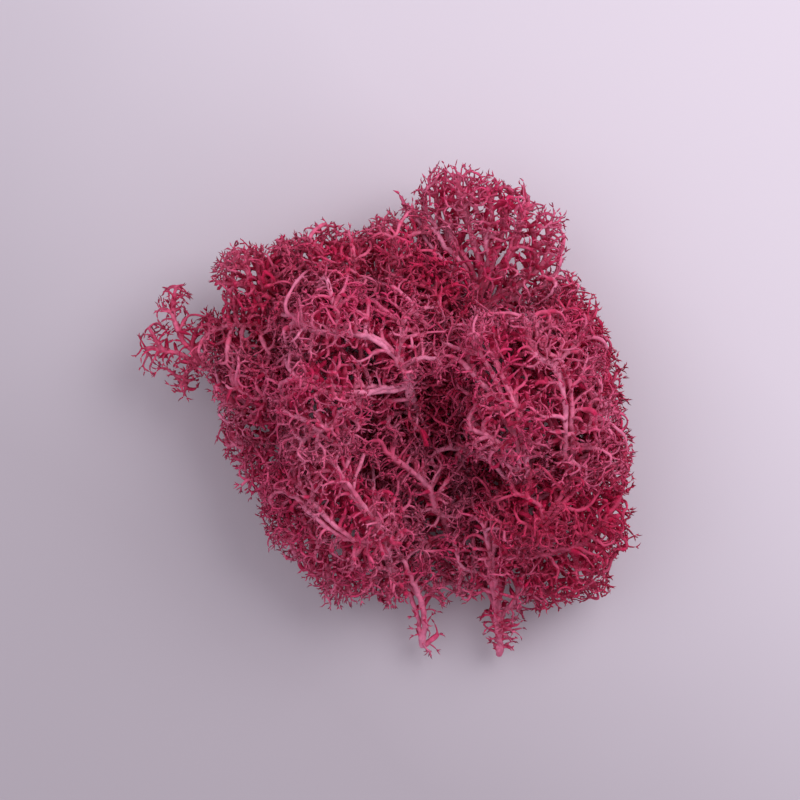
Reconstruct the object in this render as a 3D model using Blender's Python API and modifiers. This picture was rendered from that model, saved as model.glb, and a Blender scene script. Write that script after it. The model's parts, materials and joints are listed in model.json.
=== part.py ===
"""A torn clump of dyed reindeer moss, lying loose on a flat surface.

Reindeer moss grows as tufts. Each tuft is one branching piece: a bare stem that
forks again and again and ends in a rounded crown of fine twigs. The clump is a
handful of such tufts, tangled at their torn stems near the middle.

A twig crown is far too fine for solids, so each tuft is the plain closed solid
that its twig tips fill: a few overlapping lobes, small buds over the lobes, and
the bare stem, fused into one body. The tufts are built from the top of the clump
downwards, and each leaves room for those built before it.

Metres, +Z up. The origin is under the middle of the clump, on the surface.
"""

import math
from collections import namedtuple

import bmesh
import bpy
from mathutils import Matrix, Vector

MM = 0.001

CLUMP_NAME = "moss_clump"
VOXEL = 0.75 * MM
TUFT_GAP = 1.5 * MM
TUFT_TRIANGLES = 650
ROOM_TRIANGLES = 500

BUDS_PER_LOBE = 13
BUD_SHARE = 0.36
BUD_SPREAD = 0.80
GOLDEN_ANGLE = math.pi * (3.0 - math.sqrt(5.0))

GROUND_SIZE = 140 * MM
GROUND_DEPTH = 30 * MM

# A lobe is an ellipsoid: its centre and its three radii, in millimetres.
Lobe = namedtuple("Lobe", "at radii")
# A stem is a list of points, each with the stem's radius there, in millimetres.
Tuft = namedtuple("Tuft", "colour lobes stem")

ROSE = (0.50, 0.035, 0.115, 1.0)
DEEP_ROSE = (0.36, 0.014, 0.062, 1.0)
CRIMSON = (0.42, 0.008, 0.050, 1.0)
PALE_ROSE = (0.56, 0.070, 0.160, 1.0)
ROUGHNESS = 0.9

TUFTS = {
    # The two domes that stand highest, each seen from above its crown.
    "right_dome": Tuft(
        ROSE,
        lobes=[
            Lobe((17.5, 9.5, 25.0), (8.5, 8.5, 8.5)),
            Lobe((26.5, 8.5, 24.0), (8.0, 8.5, 8.5)),
            Lobe((19.0, -0.5, 25.0), (8.5, 8.5, 8.0)),
            Lobe((29.5, -1.5, 22.0), (8.0, 8.5, 8.5)),
        ],
        stem=[((9.0, -8.0, 11.0), 2.4), ((15.0, -2.0, 15.0), 2.8), ((21.0, 4.0, 20.0), 4.0)],
    ),
    "left_dome": Tuft(
        ROSE,
        lobes=[
            Lobe((-8.0, 13.5, 26.0), (9.0, 8.5, 8.5)),
            Lobe((-9.5, 3.0, 26.0), (8.5, 9.0, 8.5)),
            Lobe((1.5, 12.0, 23.5), (7.5, 8.0, 7.5)),
        ],
        stem=[((4.0, -4.0, 11.0), 2.2), ((1.0, 1.0, 16.0), 2.6), ((-3.0, 6.0, 21.0), 4.0)],
    ),
    # The bare main stem that crosses the dark hollow in the middle, and its torn foot.
    "main_stem": Tuft(
        PALE_ROSE,
        lobes=[
            Lobe((8.0, -12.0, 13.5), (2.8, 5.0, 3.2)),
            Lobe((7.5, -18.0, 7.0), (7.5, 7.0, 7.5)),
            Lobe((10.5, -23.5, 6.5), (6.0, 6.0, 6.0)),
        ],
        stem=[
            ((-1.2, -4.2, 18.0), 1.3),
            ((3.0, -7.3, 17.0), 1.6),
            ((7.2, -10.3, 15.0), 1.9),
            ((9.0, -18.0, 9.0), 2.2),
        ],
    ),
    # The low tangle at the bottom of the hollow, where the tufts were torn off.
    "base_tuft": Tuft(
        DEEP_ROSE,
        lobes=[
            Lobe((3.0, -4.5, 5.0), (7.5, 7.0, 6.5)),
            Lobe((11.5, -5.0, 5.5), (6.5, 7.5, 7.0)),
        ],
        stem=[((-3.0, -9.0, 4.0), 2.0), ((2.0, -6.0, 5.0), 3.0), ((8.0, -4.0, 6.0), 3.0)],
    ),
    # The crowns along the upper edge, fanned out from the middle.
    "upper_right_tuft": Tuft(
        ROSE,
        lobes=[
            Lobe((10.0, 34.5, 16.0), (6.0, 6.0, 7.0)),
            Lobe((17.6, 32.8, 17.0), (7.4, 6.0, 8.0)),
            Lobe((24.3, 26.5, 15.0), (5.2, 8.4, 7.0)),
            Lobe((15.5, 25.5, 14.0), (9.0, 8.0, 8.0)),
            Lobe((20.0, 18.5, 9.0), (9.5, 7.5, 8.0)),
        ],
        stem=[((8.0, 2.0, 6.0), 2.0), ((11.0, 11.0, 8.0), 2.4), ((15.0, 21.0, 12.0), 4.0)],
    ),
    "upper_middle_tuft": Tuft(
        CRIMSON,
        lobes=[
            Lobe((-9.5, 24.0, 17.0), (8.0, 7.2, 8.5)),
            Lobe((0.5, 26.0, 16.0), (7.2, 7.0, 8.0)),
            Lobe((-4.0, 22.0, 6.0), (9.0, 8.0, 8.0)),
        ],
        stem=[((1.0, 5.0, 4.0), 2.0), ((-1.0, 12.0, 6.0), 2.6), ((-4.0, 20.0, 12.0), 4.0)],
    ),
    "upper_left_tuft": Tuft(
        CRIMSON,
        lobes=[
            Lobe((-20.8, 21.0, 17.5), (7.4, 7.6, 8.5)),
            Lobe((-21.5, 13.0, 14.0), (7.0, 7.5, 8.5)),
            Lobe((-17.0, 15.5, 6.0), (8.0, 8.5, 8.0)),
        ],
        stem=[((-4.0, 4.0, 4.0), 2.0), ((-10.0, 9.0, 6.0), 2.6), ((-17.0, 15.0, 11.0), 4.0)],
    ),
    # The open sprig that reaches out to the left.
    "left_sprig": Tuft(
        CRIMSON,
        lobes=[
            Lobe((-31.0, 11.2, 12.5), (5.4, 5.0, 4.8)),
            Lobe((-34.2, 17.8, 13.0), (3.0, 4.6, 3.6)),
            Lobe((-37.2, 11.0, 11.5), (3.8, 4.4, 4.0)),
            Lobe((-32.5, 5.6, 10.0), (3.6, 3.0, 3.2)),
        ],
        stem=[((-20.0, 1.0, 8.0), 1.6), ((-25.5, 6.5, 10.5), 2.4), ((-31.0, 11.2, 12.5), 3.4)],
    ),
    # The flank below the left sprig and the crowns along the lower edge.
    "left_flank_tuft": Tuft(
        ROSE,
        lobes=[
            Lobe((-20.5, 4.0, 15.5), (8.0, 8.0, 8.0)),
            Lobe((-21.0, -3.0, 9.0), (7.2, 7.6, 9.0)),
            Lobe((-17.5, -9.0, 13.0), (6.4, 6.0, 7.5)),
        ],
        stem=[((-5.0, -2.0, 6.0), 2.0), ((-11.0, -2.0, 8.0), 2.6), ((-18.0, -1.0, 11.0), 4.0)],
    ),
    "lower_left_tuft": Tuft(
        ROSE,
        lobes=[
            Lobe((-10.5, -9.5, 20.0), (8.0, 7.5, 8.5)),
            Lobe((-12.0, -17.5, 12.0), (7.8, 7.5, 8.5)),
            Lobe((-3.5, -17.0, 18.0), (8.0, 8.0, 8.0)),
            Lobe((-5.5, -24.2, 10.0), (8.5, 7.2, 8.0)),
            Lobe((-8.0, -13.0, 5.0), (9.0, 9.0, 7.0)),
        ],
        stem=[((2.0, -9.0, 6.0), 2.0), ((-3.0, -11.0, 9.0), 2.6), ((-8.0, -14.0, 13.0), 4.0)],
    ),
    # The crown deep between the two domes.
    "centre_tuft": Tuft(
        DEEP_ROSE,
        lobes=[
            Lobe((7.5, 19.5, 14.0), (7.0, 7.5, 9.0)),
            Lobe((7.5, 9.5, 13.0), (7.5, 8.5, 9.5)),
            Lobe((6.0, 3.0, 10.0), (7.0, 6.5, 9.0)),
        ],
        stem=[((4.0, -5.0, 5.0), 2.0), ((5.0, 0.0, 6.0), 2.6), ((7.0, 8.0, 9.0), 4.0)],
    ),
    "right_edge_tuft": Tuft(
        DEEP_ROSE,
        lobes=[
            Lobe((29.8, 13.6, 13.5), (6.4, 7.0, 8.0)),
            Lobe((32.6, 4.5, 12.0), (6.0, 8.5, 8.0)),
            Lobe((27.0, 8.0, 6.0), (9.0, 9.5, 8.0)),
        ],
        stem=[((12.0, -3.0, 4.0), 2.0), ((18.0, 2.0, 5.0), 2.6), ((26.0, 8.0, 8.0), 4.0)],
    ),
    "lower_right_tuft": Tuft(
        DEEP_ROSE,
        lobes=[
            Lobe((33.4, -9.5, 16.5), (6.4, 7.8, 8.0)),
            Lobe((33.8, -17.5, 13.0), (6.6, 8.0, 7.5)),
            Lobe((24.5, -14.5, 18.0), (8.0, 8.0, 8.0)),
            Lobe((29.5, -24.0, 9.5), (7.8, 7.5, 7.5)),
            Lobe((26.0, -13.0, 6.0), (9.5, 9.5, 8.0)),
        ],
        stem=[((11.0, -10.0, 6.0), 2.0), ((17.0, -12.0, 8.0), 2.6), ((25.0, -15.0, 12.0), 4.0)],
    ),
    # The two drooping ends, where the torn stems hang out of the clump.
    "right_tail": Tuft(
        ROSE,
        lobes=[
            Lobe((17.0, -20.0, 13.0), (7.0, 7.5, 7.5)),
            Lobe((19.5, -27.0, 9.0), (6.5, 5.5, 6.5)),
            Lobe((18.8, -33.0, 6.0), (4.2, 4.8, 4.8)),
            Lobe((18.8, -37.4, 4.6), (2.6, 3.2, 3.0)),
        ],
        stem=[((13.0, -14.0, 10.0), 2.0), ((16.0, -20.0, 11.0), 3.0), ((19.0, -29.0, 7.0), 2.4)],
    ),
    "middle_tail": Tuft(
        ROSE,
        lobes=[
            Lobe((2.5, -25.5, 9.0), (5.0, 5.0, 6.5)),
            Lobe((5.5, -31.0, 7.0), (2.8, 5.0, 3.6)),
            Lobe((6.2, -36.4, 4.6), (2.8, 2.8, 2.6)),
        ],
        stem=[((2.5, -19.0, 13.0), 1.6), ((3.5, -26.0, 9.0), 2.2), ((6.0, -34.0, 5.0), 1.8)],
    ),
}


def clear_scene():
    for thing in list(bpy.data.objects):
        bpy.data.objects.remove(thing, do_unlink=True)


def new_collection(name):
    collection = bpy.data.collections.new(name)
    bpy.context.scene.collection.children.link(collection)
    return collection


def moss_material(name, colour):
    material = bpy.data.materials.new(name)
    material.use_nodes = True
    shader = material.node_tree.nodes["Principled BSDF"]
    shader.inputs["Base Color"].default_value = colour
    shader.inputs["Roughness"].default_value = ROUGHNESS
    shader.inputs["Metallic"].default_value = 0.0
    return material


def add_ellipsoid(mesh, centre, radii, fineness):
    """One ellipsoid in the bmesh, from an icosphere."""
    place = Matrix.Translation(centre) @ Matrix.Diagonal((*radii, 1.0))
    bmesh.ops.create_icosphere(mesh, subdivisions=fineness, radius=1.0, matrix=place)


def bud_directions():
    """Directions spread evenly over a sphere, along a golden spiral."""
    for step in range(BUDS_PER_LOBE):
        height = 1.0 - 2.0 * (step + 0.5) / BUDS_PER_LOBE
        ring = math.sqrt(1.0 - height * height)
        turn = GOLDEN_ANGLE * step
        yield Vector((ring * math.cos(turn), ring * math.sin(turn), height))


def add_lobe(mesh, lobe, extra):
    """A lobe and the smaller buds that make its outline scalloped, all grown by extra."""
    centre = Vector(lobe.at) * MM
    radii = Vector(lobe.radii) * MM
    core = Vector(radius * BUD_SPREAD + extra for radius in radii)
    add_ellipsoid(mesh, centre, core, 3)
    bud = min(radii) * BUD_SHARE
    for direction in bud_directions():
        reach = Vector(d * (radius - bud) for d, radius in zip(direction, radii))
        add_ellipsoid(mesh, centre + reach, (bud + extra,) * 3, 2)


def stem_mesh(stem, extra):
    """A tapered tube with closed ends, as a mesh."""
    curve = bpy.data.curves.new("stem", "CURVE")
    curve.dimensions = "3D"
    curve.bevel_depth = 1.0
    curve.bevel_resolution = 3
    curve.resolution_u = 6
    curve.use_fill_caps = True
    spline = curve.splines.new("NURBS")
    spline.points.add(len(stem) - 1)
    for point, (place, radius) in zip(spline.points, stem):
        point.co = (*(Vector(place) * MM), 1.0)
        point.radius = radius * MM + extra
    spline.order_u = 3
    spline.use_endpoint_u = True
    holder = bpy.data.objects.new("stem", curve)
    bpy.context.scene.collection.objects.link(holder)
    made = evaluated_mesh(holder)
    bpy.data.objects.remove(holder, do_unlink=True)
    return made


def evaluated_mesh(thing):
    graph = bpy.context.evaluated_depsgraph_get()
    return bpy.data.meshes.new_from_object(thing.evaluated_get(graph))


def rough_mesh(name, tuft, extra):
    """The tuft's lobes, buds and stem, still overlapping, as one mesh."""
    mesh = bmesh.new()
    for lobe in tuft.lobes:
        add_lobe(mesh, lobe, extra)
    mesh.from_mesh(stem_mesh(tuft.stem, extra))
    bmesh.ops.remove_doubles(mesh, verts=mesh.verts, dist=0.01 * MM)
    made = bpy.data.meshes.new(name)
    mesh.to_mesh(made)
    mesh.free()
    return made


def add_remesh(thing):
    remesh = thing.modifiers.new("fuse", "REMESH")
    remesh.mode = "VOXEL"
    remesh.voxel_size = VOXEL


def add_decimate(thing, triangles, before):
    decimate = thing.modifiers.new("simplify", "DECIMATE")
    decimate.ratio = min(1.0, triangles / before)


def add_cut(thing, cutter, solver="EXACT"):
    cut = thing.modifiers.new("cut", "BOOLEAN")
    cut.operation = "DIFFERENCE"
    cut.solver = solver
    cut.object = cutter


def triangle_count(mesh):
    return sum(len(polygon.vertices) - 2 for polygon in mesh.polygons)


def take_evaluated(thing):
    """Replace the object's mesh with its evaluated one, and drop the modifiers."""
    made = evaluated_mesh(thing)
    thing.modifiers.clear()
    thing.data = made


def keep_largest_body(thing):
    """Drop crumbs that a cut left behind."""
    mesh = bmesh.new()
    mesh.from_mesh(thing.data)
    left = set(mesh.verts)
    bodies = []
    while left:
        seed = left.pop()
        body = [seed]
        for vertex in body:
            for edge in vertex.link_edges:
                other = edge.other_vert(vertex)
                if other in left:
                    left.remove(other)
                    body.append(other)
        bodies.append(body)
    bodies.sort(key=len)
    crumbs = [vertex for body in bodies[:-1] for vertex in body]
    bmesh.ops.delete(mesh, geom=crumbs, context="VERTS")
    mesh.to_mesh(thing.data)
    mesh.free()


def simplify(thing, triangles):
    add_decimate(thing, triangles, triangle_count(thing.data))
    take_evaluated(thing)


def make_room(name, tuft, collection):
    """The space that a tuft needs, which its neighbours are cut away from."""
    room = bpy.data.objects.new(name + "_room", rough_mesh(name + "_room", tuft, TUFT_GAP))
    collection.objects.link(room)
    room.hide_render = True
    room.display_type = "WIRE"
    add_remesh(room)
    take_evaluated(room)
    simplify(room, ROOM_TRIANGLES)
    return room


def make_ground(collection):
    """A block below the surface, which cuts every underside flat."""
    mesh = bmesh.new()
    size = Matrix.Diagonal((GROUND_SIZE, GROUND_SIZE, GROUND_DEPTH, 1.0))
    bmesh.ops.create_cube(mesh, size=1.0, matrix=size)
    made = bpy.data.meshes.new("ground")
    mesh.to_mesh(made)
    mesh.free()
    ground = bpy.data.objects.new("ground", made)
    ground.location = (0.0, 0.0, -GROUND_DEPTH / 2)
    ground.hide_render = True
    ground.display_type = "WIRE"
    collection.objects.link(ground)
    return ground


def make_tuft(name, tuft, collection, rooms, ground):
    thing = bpy.data.objects.new(name, rough_mesh(name, tuft, 0.0))
    collection.objects.link(thing)
    add_remesh(thing)
    # The exact solver loses one of these lumpy pairs, and both meshes are closed.
    for room in rooms:
        add_cut(thing, room, "MANIFOLD")
    add_remesh(thing)
    take_evaluated(thing)
    keep_largest_body(thing)
    simplify(thing, TUFT_TRIANGLES)
    add_cut(thing, ground)
    thing.data.materials.clear()
    thing.data.materials.append(moss_material(name, tuft.colour))
    thing.data.shade_smooth()
    return thing


def bounds_of(things):
    graph = bpy.context.evaluated_depsgraph_get()
    corners = [Vector(c) for t in things for c in t.evaluated_get(graph).bound_box]
    low = Vector(min(c[axis] for c in corners) for axis in range(3))
    high = Vector(max(c[axis] for c in corners) for axis in range(3))
    return low, high


def main():
    clear_scene()
    clump = new_collection(CLUMP_NAME)
    cutters = new_collection("cutters")
    ground = make_ground(cutters)
    rooms = []
    made = []
    for name, tuft in TUFTS.items():
        made.append(make_tuft(name, tuft, clump, rooms, ground))
        rooms.append(make_room(name, tuft, cutters))
    low, high = bounds_of(made)
    middle = (low + high) / 2
    for thing in made:
        thing.location = (-middle.x, -middle.y, 0.0)
    ground.location.x -= middle.x
    ground.location.y -= middle.y
    print("clump box in mm:", [round(v / MM, 2) for v in (*low, *high)])


main()
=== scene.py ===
# %% [markdown]
# # A clump of dyed reindeer moss
#
# Reindeer moss is a lichen. It has no leaves: it is all bare twigs that fork, fork
# again, and end in little stars of pointed tips. Florists dye it and lay torn handfuls
# of it on a table or in a bowl.
#
# The looks are made here round a fixed frame. The frame holds one plain solid for each
# tuft of the clump. This lesson grows real branching inside each solid, gives it a
# worn dye, and lights it softly. Nothing in the frame is moved.

# %% Load the fixed frame
import json
import math
from collections import namedtuple

import bpy
import numpy as np
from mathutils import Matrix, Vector, noise
from mathutils.bvhtree import BVHTree
from mathutils.kdtree import KDTree


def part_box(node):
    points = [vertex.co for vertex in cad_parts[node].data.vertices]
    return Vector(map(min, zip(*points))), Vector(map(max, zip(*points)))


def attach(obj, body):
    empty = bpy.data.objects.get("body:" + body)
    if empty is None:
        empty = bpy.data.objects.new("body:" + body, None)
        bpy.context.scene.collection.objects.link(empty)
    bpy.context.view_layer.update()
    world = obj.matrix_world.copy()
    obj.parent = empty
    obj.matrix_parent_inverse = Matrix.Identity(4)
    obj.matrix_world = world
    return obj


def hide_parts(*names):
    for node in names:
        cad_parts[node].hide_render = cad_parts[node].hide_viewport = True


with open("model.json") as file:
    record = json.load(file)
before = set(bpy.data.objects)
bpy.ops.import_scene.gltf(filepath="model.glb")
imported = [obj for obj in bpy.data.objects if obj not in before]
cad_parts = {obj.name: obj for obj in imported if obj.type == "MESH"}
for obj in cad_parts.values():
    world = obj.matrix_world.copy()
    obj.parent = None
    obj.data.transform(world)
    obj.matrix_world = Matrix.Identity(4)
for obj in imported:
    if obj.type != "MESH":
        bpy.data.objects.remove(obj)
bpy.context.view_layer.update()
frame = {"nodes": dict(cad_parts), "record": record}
MM = 0.001
print("tufts in the frame:", sorted(frame["nodes"]))

# %% [markdown]
# ## Where the twigs may grow
#
# A tuft's twigs fill its solid, thickly where light reaches them and thinly in the
# shade. What counts is not the depth under the tuft's own skin, because tufts lie
# against each other, but how much moss a look from above or from the side has to pass.
# So each random point looks out along a few ways, and keeps the thinnest cover.

# %% Looking out of a solid
# Cover counts up to the shell's thickness. A look that runs into another tuft counts as
# blocked, one through less than the clear cover is good enough, and a look starts anew
# just outside the solid.
SHELL = 3.2 * MM
BLOCKED = 2.4 * MM
CLEAR = 0.5 * MM
JUST_OUTSIDE = 0.05 * MM
# Straight up, then a ring of slanting ways, then a ring of nearly level ones.
LOOKS_OUT = [(0, 90)]
LOOKS_OUT += [(turn, 50) for turn in range(30, 390, 90)]
LOOKS_OUT += [(turn, 12) for turn in range(0, 360, 60)]


def direction(turn, rise):
    """The way of a look, from its turn and its rise in degrees."""
    turn, rise = math.radians(turn), math.radians(rise)
    level = math.cos(rise)
    return Vector((level * math.cos(turn), level * math.sin(turn), math.sin(rise)))


WAYS_OUT = [direction(turn, rise) for turn, rise in LOOKS_OUT]


# %% Cover over a point
def solid_tree(*nodes):
    """A search tree over the faces of some of the frame's solids."""
    corners, faces = [], []
    for node in nodes:
        mesh = frame["nodes"][node].data
        first = len(corners)
        corners += [vertex.co.copy() for vertex in mesh.vertices]
        faces += [tuple(first + corner for corner in face.vertices) for face in mesh.polygons]
    return BVHTree.FromPolygons(corners, faces)


def depth_under(tree, point):
    """How far a point lies under the solid's surface, negative outside."""
    place, normal, _, distance = tree.find_nearest(point)
    return distance if (place - point).dot(normal) > 0 else -distance


def cover_over(tree, point, depth):
    """The least moss, in metres, that lies between a point and the open air."""
    least = SHELL
    if depth >= SHELL:
        return least
    for way in WAYS_OUT:
        out, passed = point, 0.0
        if depth > 0:
            exit_place, _, _, distance = tree.ray_cast(point, way)
            if exit_place is not None:
                out, passed = exit_place + way * JUST_OUTSIDE, distance
        if passed < least and clump_tree.ray_cast(out, way)[0] is not None:
            passed += BLOCKED
        least = min(least, passed)
        if least < CLEAR:
            break
    return least


clump_tree = solid_tree(*sorted(frame["nodes"]))
print(len(WAYS_OUT), "ways out are tried from each point")

# %% Bare tufts and clearings
# Tufts that are mostly bare wood, with the share of twigs that they keep.
BARE_TUFTS = {"middle_tail": 0.16, "right_tail": 0.32, "left_sprig": 0.34}
# Openings in the crown, where stems show or the outline steps back: middle and radius
# in millimetres, and the share of twigs that is left there.
Clearing = namedtuple("Clearing", "middle radius share")
CLEARINGS = [
    Clearing((16.5, 20.5, 23.0), 8.0, 0.15),
    Clearing((27.0, 29.0, 17.0), 5.0, 0.50),
    Clearing((0.5, -2.5, 24.0), 6.0, 0.15),
    Clearing((3.5, -8.5, 22.0), 5.5, 0.20),
    Clearing((-1.0, 6.0, 30.0), 5.5, 0.20),
    Clearing((28.5, -6.0, 27.0), 5.5, 0.25),
    Clearing((12.5, 4.0, 27.0), 5.0, 0.25),
    Clearing((-5.5, -18.0, 25.5), 5.0, 0.25),
    Clearing((8.9, -29.5, 7.0), 4.0, 0.05),
    Clearing((-25.5, -5.0, 12.0), 2.6, 0.20),
    Clearing((-22.0, -10.5, 11.0), 3.0, 0.20),
    Clearing((-17.0, -20.5, 8.0), 3.5, 0.30),
    Clearing((30.5, 21.5, 12.0), 3.5, 0.20),
    Clearing((-11.0, 30.0, 18.0), 3.0, 0.30),
]
print(len(CLEARINGS), "clearings in the crown")

# %% Lumps and patches
# Growth comes in lumps: the crown swells and sinks, and it is thick here, thin there.
LUMP_SIZE = 5.5 * MM
LUMP_HEIGHT = 1.5 * MM
PATCH_OF_TWIGS = 3.2 * MM
PATCH_DEPTH = 1.4
THINNEST_PATCH = 0.42
# Tufts whose heads are closed and fine, and how close their twigs stand in them.
CLOSE_HEADS = {"upper_left_tuft", "upper_middle_tuft"}
CLOSE_HEAD_GAPS = 0.92


def openness(node, point):
    """The share of twigs that the clearings and thin patches leave at a place."""
    share = 1.0
    for clearing in CLEARINGS:
        gap = np.linalg.norm(point / MM - clearing.middle) / clearing.radius
        if gap < 1.0:
            share = min(share, clearing.share + (1.0 - clearing.share) * gap ** 3)
    if node in CLOSE_HEADS:
        return share
    patch = noise.noise(Vector(point) / PATCH_OF_TWIGS)
    return share * min(1.0, max(THINNEST_PATCH, 1.0 + PATCH_DEPTH * patch))


print("thick and thin patches are", round(PATCH_OF_TWIGS / MM, 1), "mm across")

# %% Points that fill a solid
POINTS_PER_MM3 = 2.5
# Full growth under thin cover, down to the core's share under a whole shell.
LIT_COVER = 0.9 * MM
CORE_SHARE = 0.24
# How far the twigs reach past the solid, in the open and into the gap between tufts.
OVERGROWTH = 0.35 * MM
CREVICE_GROWTH = 2.5 * MM
FLOOR_CLEARANCE = 0.3 * MM
SHADED_BELOW = 4.0 * MM
UNDERSIDE_SHARE = 0.75


def fill_points(node, tree, rng):
    """Points for the twigs to reach, with the cover over them and their crowding."""
    others = solid_tree(*(name for name in sorted(frame["nodes"]) if name != node))
    bareness = BARE_TUFTS.get(node, 1.0)
    low, high = (np.array(corner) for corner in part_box(node))
    low, high = low - CREVICE_GROWTH, high + CREVICE_GROWTH
    low[2] = max(low[2], FLOOR_CLEARANCE)
    count = int(np.prod((high - low) / MM) * POINTS_PER_MM3)
    points = rng.uniform(low, high, (count, 3))
    chance = rng.random(count)
    kept, covers, crowding = [], [], []
    for point, luck in zip(points, chance):
        spot = Vector(point)
        depth = depth_under(tree, spot) + LUMP_HEIGHT * noise.noise(spot / LUMP_SIZE)
        if depth < -OVERGROWTH:
            in_reach = depth > -CREVICE_GROWTH
            if not in_reach or others.find_nearest(spot)[3] > CREVICE_GROWTH:
                continue
        cover = cover_over(tree, spot, depth)
        shade = min(max((cover - LIT_COVER) / (SHELL - LIT_COVER), 0.0), 1.0)
        share = 1.0 - (1.0 - CORE_SHARE) * shade
        share *= UNDERSIDE_SHARE if point[2] < SHADED_BELOW else 1.0
        share *= bareness * openness(node, point)
        if luck < share:
            kept.append(point)
            covers.append(cover)
            crowding.append(share * POINTS_PER_MM3)
    return np.array(kept), np.array(covers), np.array(crowding)
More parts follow.
